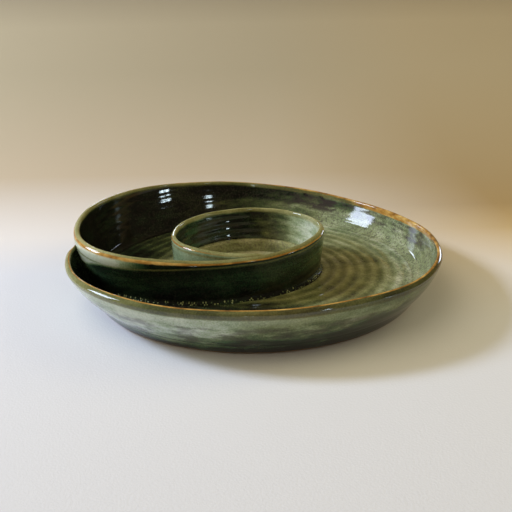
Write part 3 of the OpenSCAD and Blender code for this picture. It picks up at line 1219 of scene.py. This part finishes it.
# Its colours from the table to the back, plain and with a painted warm shadow and darker shade at the
# right, and its upper part painted dark as shade, so that the glaze mirrors a dark room
PAPER_STOPS = ((0.0, (0.645, 0.675, 0.74)), (0.16, (0.68, 0.665, 0.66)),
               (0.55, (0.47, 0.40, 0.30)), (1.0, (0.36, 0.32, 0.23)))
RIGHT_PAINTED_SHADOW_STOPS = ((0.0, (0.60, 0.46, 0.25)), (0.3, (0.34, 0.25, 0.13)),
                     (1.0, (0.38, 0.325, 0.22)))
UPPER_PAINTED_SHADE = (0.10, 0.08, 0.055)
# Where the colours change, in metres along X, Y or Z
BACK_Y = (0.02, 0.62)
RIGHT_X = (0.03, 0.26)
RIGHT_Y = (-0.08, 0.12)
UPPER_Z = (0.17, 0.34)


def stage_material():
    """Matt paper: pale grey-white on the table, beige as it rises behind, with a painted shadow at the
    right and painted shade on its upper part.
    """
    n = Nodes("backdrop_paper")
    axes = n.node("ShaderNodeSeparateXYZ")
    n.feed(axes.inputs[0], n.place)
    x, y, z = axes.outputs
    back = n.span(y, *BACK_Y)
    # Painted shadow: at the right the paper turns warm and dark where the key's shadow falls and its
    # light fades
    right = n.math("MULTIPLY", n.span(x, *RIGHT_X), n.span(y, *RIGHT_Y))
    body = n.mix(right, n.ramp(back, PAPER_STOPS), n.ramp(back, RIGHT_PAINTED_SHADOW_STOPS))
    # Painted shade: the paper's upper part is dark, so that the glaze mirrors a dark room
    n.shade("Base Color", n.mix(n.span(z, *UPPER_Z), body, UPPER_PAINTED_SHADE))
    n.shade("Roughness", 0.95)
    n.shade("Specular IOR Level", 0.0)
    n.shade("Normal", n.bump(n.noise(700, 2, 0.5), 0.0006, 0.25))
    return n.material


def build_stage():
    """One sheet of paper that lies on the table and curves up behind."""
    rows = [(SWEEP_FRONT, 0.0)]
    rows += [(SWEEP_BEND + SWEEP_RADIUS * sin_deg(t), SWEEP_RADIUS * (1 - cos_deg(t)))
             for t in range(0, 91, 3)]
    rows.append((SWEEP_BEND + SWEEP_RADIUS, SWEEP_HEIGHT))
    points = [(x, y, z + SWEEP_LEVEL) for y, z in rows
              for x in (-SWEEP_HALF_WIDTH, SWEEP_HALF_WIDTH)]
    faces = [(2 * i, 2 * i + 1, 2 * i + 3, 2 * i + 2) for i in range(len(rows) - 1)]
    backdrop = add_object("backdrop", smooth_mesh("backdrop", points, faces, stage_material()))


AIM = (0.0, 0.0, 0.03)


def add_light(name, place_at, size, power, colour, lights_paper, mirrored):
    """A rectangular soft light of the given width and height, aimed at the server."""
    data = bpy.data.lights.new(name, "AREA")
    data.shape = "RECTANGLE"
    data.size, data.size_y = size
    data.energy = power
    data.color = colour
    light = add_object(name, data)
    light.location = place_at
    light.visible_camera = False
    light.visible_diffuse = lights_paper
    light.visible_glossy = mirrored
    aim = Vector(AIM) - Vector(place_at)
    light.rotation_euler = aim.to_track_quat("-Z", "Y").to_euler()


COOL = (0.70, 0.80, 1.0)
DAYLIGHT = (0.74, 0.92, 1.0)
WARM = (1.0, 0.84, 0.56)
AMBER = (1.0, 0.84, 0.42)
# Rows of (name, place, (width, height), power, colour, lights the matt surfaces, is mirrored)
LIGHTS = (
    ("key", (-1.45, 0.22, 1.0), (0.32, 0.32), 31.5, COOL, True, False),
    ("left_window", (-1.5, -0.02, 0.62), (0.52, 0.52), 14, COOL, False, True),
    ("back_left_card", (-0.27, 0.70, 0.10), (0.16, 0.20), 1.6, COOL, False, True),
    ("back_right_card", (0.50, 0.50, 0.12), (0.16, 0.10), 0.35, COOL, False, True),
    ("right_fill", (0.75, 0.10, 0.5), (0.6, 0.6), 2.6, AMBER, True, False),
    ("warm_fill", (-1.0, -0.35, 1.35), (2.0, 2.0), 16.2, WARM, True, False),
)
# Rows of (name, middle, (width, height), power) of the mirrored windows with four panes
PANES = (
    ("right_window", (1.88, -0.68, 0.24), (0.28, 0.08), 1.5),
    ("front_right_window", (1.2, -1.6, 0.65), (0.16, 0.2), 1.5),
    ("front_window", (0.0, -2.0, 0.15), (0.24, 0.06), 0.8),
)
# Width and height of a pane as a share of the window's
PANE_SHARE = 0.34
# The room's even light, its strength in mirrored rays, and what shows past the paper
ROOM_COLOUR = (1.0, 0.82, 0.55)
ROOM_STRENGTH = 0.33
MIRRORED_ROOM = 0.06
BEYOND_COLOUR = (0.50, 0.44, 0.36)


def add_room():
    """The world: even light, dimmer in mirrored rays, and a plain wall for the camera."""
    world = bpy.data.worlds.new("room")
    world.use_nodes = True
    nodes, links = world.node_tree.nodes, world.node_tree.links
    room = nodes["Background"]
    room.inputs["Color"].default_value = (*ROOM_COLOUR, 1)
    room.inputs["Strength"].default_value = ROOM_STRENGTH
    mirrored_room = nodes.new("ShaderNodeBackground")
    mirrored_room.inputs["Color"].default_value = (*ROOM_COLOUR, 1)
    mirrored_room.inputs["Strength"].default_value = MIRRORED_ROOM
    beyond = nodes.new("ShaderNodeBackground")
    beyond.inputs["Color"].default_value = (*BEYOND_COLOUR, 1)
    rays = nodes.new("ShaderNodeLightPath")
    shader = room
    for ray, other in (("Is Glossy Ray", mirrored_room), ("Is Camera Ray", beyond)):
        either = nodes.new("ShaderNodeMixShader")
        links.new(rays.outputs[ray], either.inputs[0])
        links.new(shader.outputs[0], either.inputs[1])
        links.new(other.outputs[0], either.inputs[2])
        shader = either
    links.new(shader.outputs[0], nodes["World Output"].inputs["Surface"])
    bpy.context.scene.world = world


def add_lights():
    """The soft lights and cards, and the panes of the mirrored windows."""
    for row in LIGHTS:
        add_light(*row)
    for name, centre, (width, height), power in PANES:
        side = (Vector(AIM) - Vector(centre)).cross(Vector((0, 0, 1))).normalized()
        for i, (across, up) in enumerate(((-1, -1), (1, -1), (-1, 1), (1, 1))):
            offset = side * across * width / 4 + Vector((0, 0, up * height / 4))
            pane = (PANE_SHARE * width, PANE_SHARE * height)
            add_light(f"{name}_{i}", Vector(centre) + offset, pane, power / 4, DAYLIGHT,
                      False, True)


add_camera()
build_server()
build_stage()
add_room()
add_lights()
bpy.context.scene.view_settings.view_transform = "Standard"
